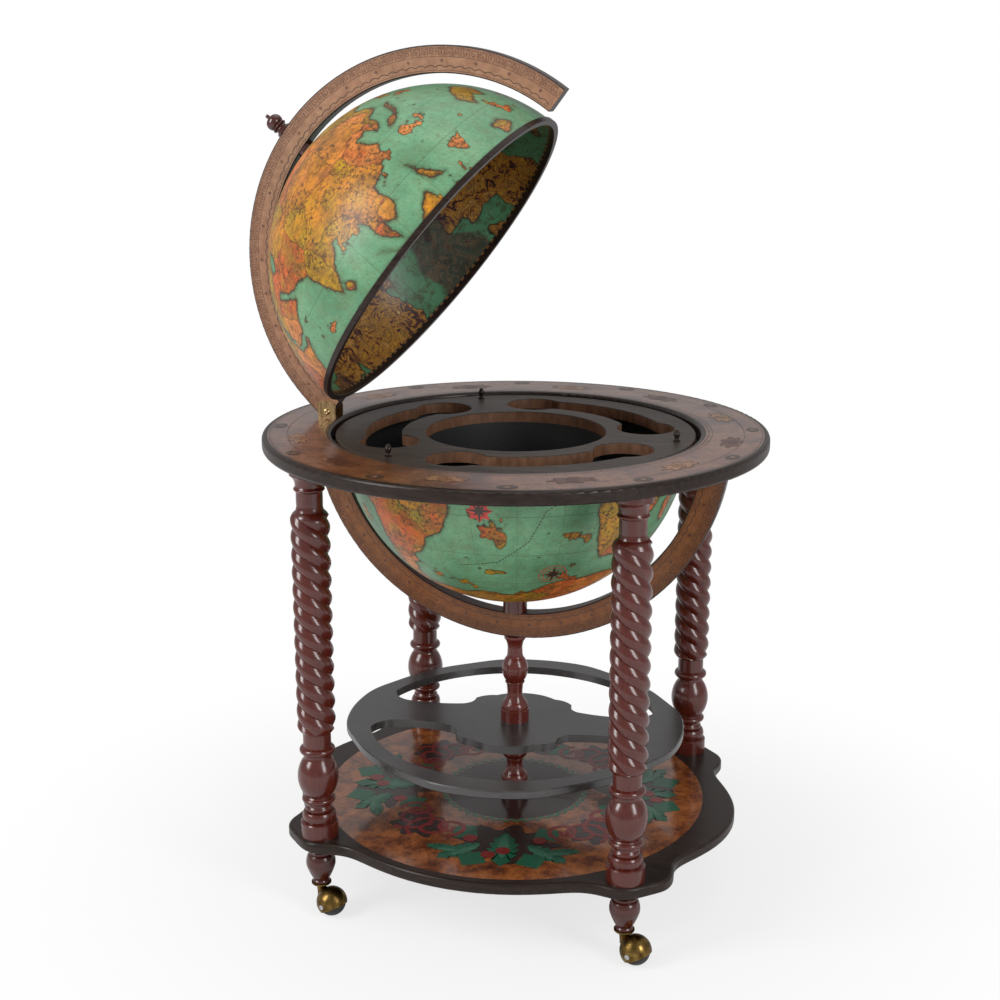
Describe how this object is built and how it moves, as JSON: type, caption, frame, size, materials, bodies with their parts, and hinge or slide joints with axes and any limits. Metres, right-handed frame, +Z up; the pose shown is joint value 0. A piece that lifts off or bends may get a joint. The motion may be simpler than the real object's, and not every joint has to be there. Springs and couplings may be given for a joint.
{
  "type": "globe drinks bar",
  "caption": "Floor-standing globe drinks bar: hinged half-globe lid over a pocketed bowl in a horizon ring, twisted legs, bottle shelf, scalloped base and ball casters.",
  "frame": {"origin": "on the floor, under the globe's vertical axis", "axes": "+Z up; the lid's hinge is on the -X side with its axis along Y; the legs stand at 45 degrees to X and Y"},
  "size_m": [0.7737, 0.73, 1.229],
  "materials": {
    "mahogany": "gloss lacquer",
    "espresso_wood": "satin lacquer",
    "base_map": "printed paper under varnish",
    "ring_map": "printed paper under varnish",
    "meridian_print": "printed paper on wood under varnish",
    "globe_map": "printed map under varnish",
    "divider_wood": "satin",
    "black_liner": "matte",
    "antique_brass": "antique",
    "black_ball": "satin",
    "bright_steel": "bright",
    "plain_steel": "zinc plated",
    "beech": "plain"
  },
  "bodies": {
    "stand": {"arc_dowels": "beech", "base_plate": "espresso_wood", "base_print": "base_map", "bowl_floor": "black_liner", "bowl_rim": "espresso_wood", "bowl_rim_screws": "plain_steel", "bowl_shell": "globe_map", "caster_socket_back_left": "antique_brass", "caster_socket_back_right": "antique_brass", "caster_socket_front_left": "antique_brass", "caster_socket_front_right": "antique_brass", "centre_rod": "plain_steel", "divider_pegs": "mahogany", "divider_plate": "divider_wood", "foot_back_left": "mahogany", "foot_back_right": "mahogany", "foot_front_left": "mahogany", "foot_front_right": "mahogany", "hinge_bracket": "antique_brass", "hinge_pin": "antique_brass", "hinge_screws": "antique_brass", "horizon_print": "ring_map", "horizon_ring": "espresso_wood", "leg_back_left": "mahogany", "leg_back_right": "mahogany", "leg_dowels": "beech", "leg_front_left": "mahogany", "leg_front_right": "mahogany", "leg_studs": "plain_steel", "lower_meridian": "meridian_print", "lower_spindle": "mahogany", "mid_shelf": "espresso_wood", "rod_nuts": "plain_steel", "south_spacer": "mahogany", "upper_spindle": "mahogany", "well_liner": "black_liner"},
    "lid": {"lid_shell": "globe_map", "lid_rim": "espresso_wood", "lid_meridian": "meridian_print", "pole_spacer": "mahogany", "foot_spacer": "mahogany", "finial": "mahogany", "finial_bolt": "plain_steel"},
    "caster_back_right": {"caster_hood_back_right": "antique_brass", "caster_axle_back_right": "bright_steel"},
    "ball_back_right": {"caster_ball_back_right": "black_ball"},
    "caster_back_left": {"caster_hood_back_left": "antique_brass", "caster_axle_back_left": "bright_steel"},
    "ball_back_left": {"caster_ball_back_left": "black_ball"},
    "caster_front_left": {"caster_hood_front_left": "antique_brass", "caster_axle_front_left": "bright_steel"},
    "ball_front_left": {"caster_ball_front_left": "black_ball"},
    "caster_front_right": {"caster_hood_front_right": "antique_brass", "caster_axle_front_right": "bright_steel"},
    "ball_front_right": {"caster_ball_front_right": "black_ball"}
  },
  "joints": [
    {"name": "lid_hinge", "type": "hinge", "parent": "stand", "child": "lid", "pos_m": [-0.29, 0, 0.702], "axis": [0, 1, 0], "range_deg": [0, 53]},
    {"name": "caster_swivel_back_right", "type": "hinge", "parent": "stand", "child": "caster_back_right", "pos_m": [0.22698, 0.22698, 0.06], "axis": [0, 0, 1], "continuous": true},
    {"name": "caster_roll_back_right", "type": "hinge", "parent": "caster_back_right", "child": "ball_back_right", "pos_m": [0.24505, 0.22111, 0.0205], "axis": [0.309, 0.9511, 0], "continuous": true},
    {"name": "caster_swivel_back_left", "type": "hinge", "parent": "stand", "child": "caster_back_left", "pos_m": [-0.22698, 0.22698, 0.06], "axis": [0, 0, 1], "continuous": true},
    {"name": "caster_roll_back_left", "type": "hinge", "parent": "caster_back_left", "child": "ball_back_left", "pos_m": [-0.20891, 0.22111, 0.0205], "axis": [0.309, 0.9511, 0], "continuous": true},
    {"name": "caster_swivel_front_left", "type": "hinge", "parent": "stand", "child": "caster_front_left", "pos_m": [-0.22698, -0.22698, 0.06], "axis": [0, 0, 1], "continuous": true},
    {"name": "caster_roll_front_left", "type": "hinge", "parent": "caster_front_left", "child": "ball_front_left", "pos_m": [-0.20891, -0.23285, 0.0205], "axis": [0.309, 0.9511, 0], "continuous": true},
    {"name": "caster_swivel_front_right", "type": "hinge", "parent": "stand", "child": "caster_front_right", "pos_m": [0.22698, -0.22698, 0.06], "axis": [0, 0, 1], "continuous": true},
    {"name": "caster_roll_front_right", "type": "hinge", "parent": "caster_front_right", "child": "ball_front_right", "pos_m": [0.24505, -0.23285, 0.0205], "axis": [0.309, 0.9511, 0], "continuous": true}
  ]
}
